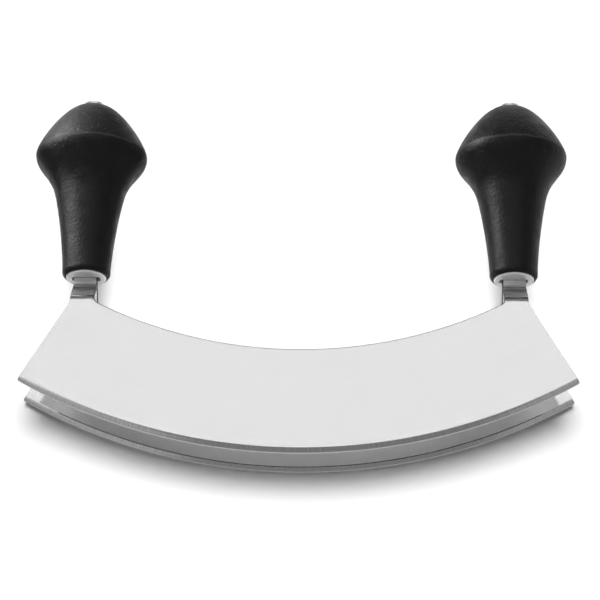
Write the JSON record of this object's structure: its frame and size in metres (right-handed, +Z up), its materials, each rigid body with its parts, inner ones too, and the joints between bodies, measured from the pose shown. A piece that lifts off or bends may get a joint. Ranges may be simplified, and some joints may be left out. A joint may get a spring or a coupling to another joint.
{
  "type": "double mezzaluna",
  "caption": "Double mezzaluna for mincing herbs with a rocking stroke: parallel crescent steel blades whose end straps meet in upright black knob handles with steel ferrules.",
  "frame": {"origin": "middle of the underside of the bounding box, on the surface that the knife lies on", "axes": "+X along the blades, +Y from the cutting edges towards the handles, +Z up from the surface: the knife lies on its rear blade and both bulbs, front blade up"},
  "size_m": [0.226, 0.162, 0.0466],
  "materials": {
    "blade_steel": "polished stainless sheet, bevels ground across the edge",
    "fitting_steel": "turned and polished stainless",
    "grip_plastic": "moulded black plastic, satin"
  },
  "bodies": {
    "root": {"front_blade": "blade_steel", "rear_blade": "blade_steel", "left_ferrule": "fitting_steel", "right_ferrule": "fitting_steel", "left_grip": "grip_plastic", "right_grip": "grip_plastic", "left_tang_rod": "fitting_steel", "right_tang_rod": "fitting_steel", "left_lower_pin": "fitting_steel", "left_upper_pin": "fitting_steel", "right_lower_pin": "fitting_steel", "right_upper_pin": "fitting_steel", "left_crown_cap": "fitting_steel", "right_crown_cap": "fitting_steel"}
  },
  "joints": []
}
